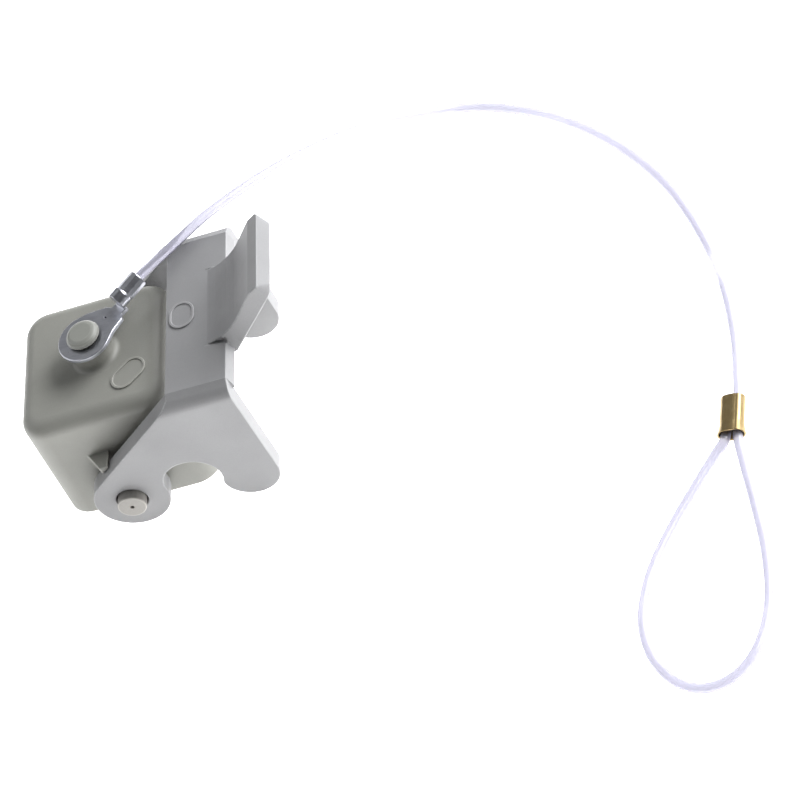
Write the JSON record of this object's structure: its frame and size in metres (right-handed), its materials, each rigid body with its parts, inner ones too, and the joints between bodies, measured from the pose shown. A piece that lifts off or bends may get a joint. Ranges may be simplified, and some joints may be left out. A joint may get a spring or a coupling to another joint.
{
  "type": "connector protective cover",
  "caption": "Square protective cover for a small connector hood, with a pivoting U-shaped locking lever and a looped nylon tether cord.",
  "frame": {"origin": "centre of the cover's square mouth, in the plane of its rim", "axes": "+Z along the cover's axis from the mouth to the closed top; +Y along the lever's pivot axis; +X towards the bridge of the open lever"},
  "size_m": [0.1231, 0.1364, 0.0378],
  "materials": {
    "cover_plastic": "fine matt moulded thermoplastic",
    "lever_plastic": "fine matt moulded thermoplastic",
    "pin_plastic": "satin moulded thermoplastic",
    "stud_plastic": "satin moulded thermoplastic",
    "gasket_rubber": "matt black rubber",
    "tinned_copper": "tin plated, lightly drawn",
    "nylon_cord": "translucent milky monofilament",
    "brass": "polished brass"
  },
  "bodies": {
    "cover": {"cover_shell": "cover_plastic", "sealing_gasket": "gasket_rubber", "pivot_pin_front": "pin_plastic", "pivot_pin_rear": "pin_plastic", "retaining_stud": "stud_plastic"},
    "lever": {"locking_lever": "lever_plastic"},
    "tether": {"ring_terminal": "tinned_copper", "tether_cord": "nylon_cord", "crimp_ferrule": "brass"}
  },
  "joints": [
    {"name": "lever_swing", "type": "hinge", "parent": "cover", "child": "lever", "pos_m": [0, 0, 0.0057], "axis": [0, 1, 0], "range_deg": [0, 92]},
    {"name": "terminal_swivel", "type": "hinge", "parent": "cover", "child": "tether", "pos_m": [0.0008, 0, 0.0268], "axis": [0, 0, 1], "range_deg": [0, 180]}
  ]
}
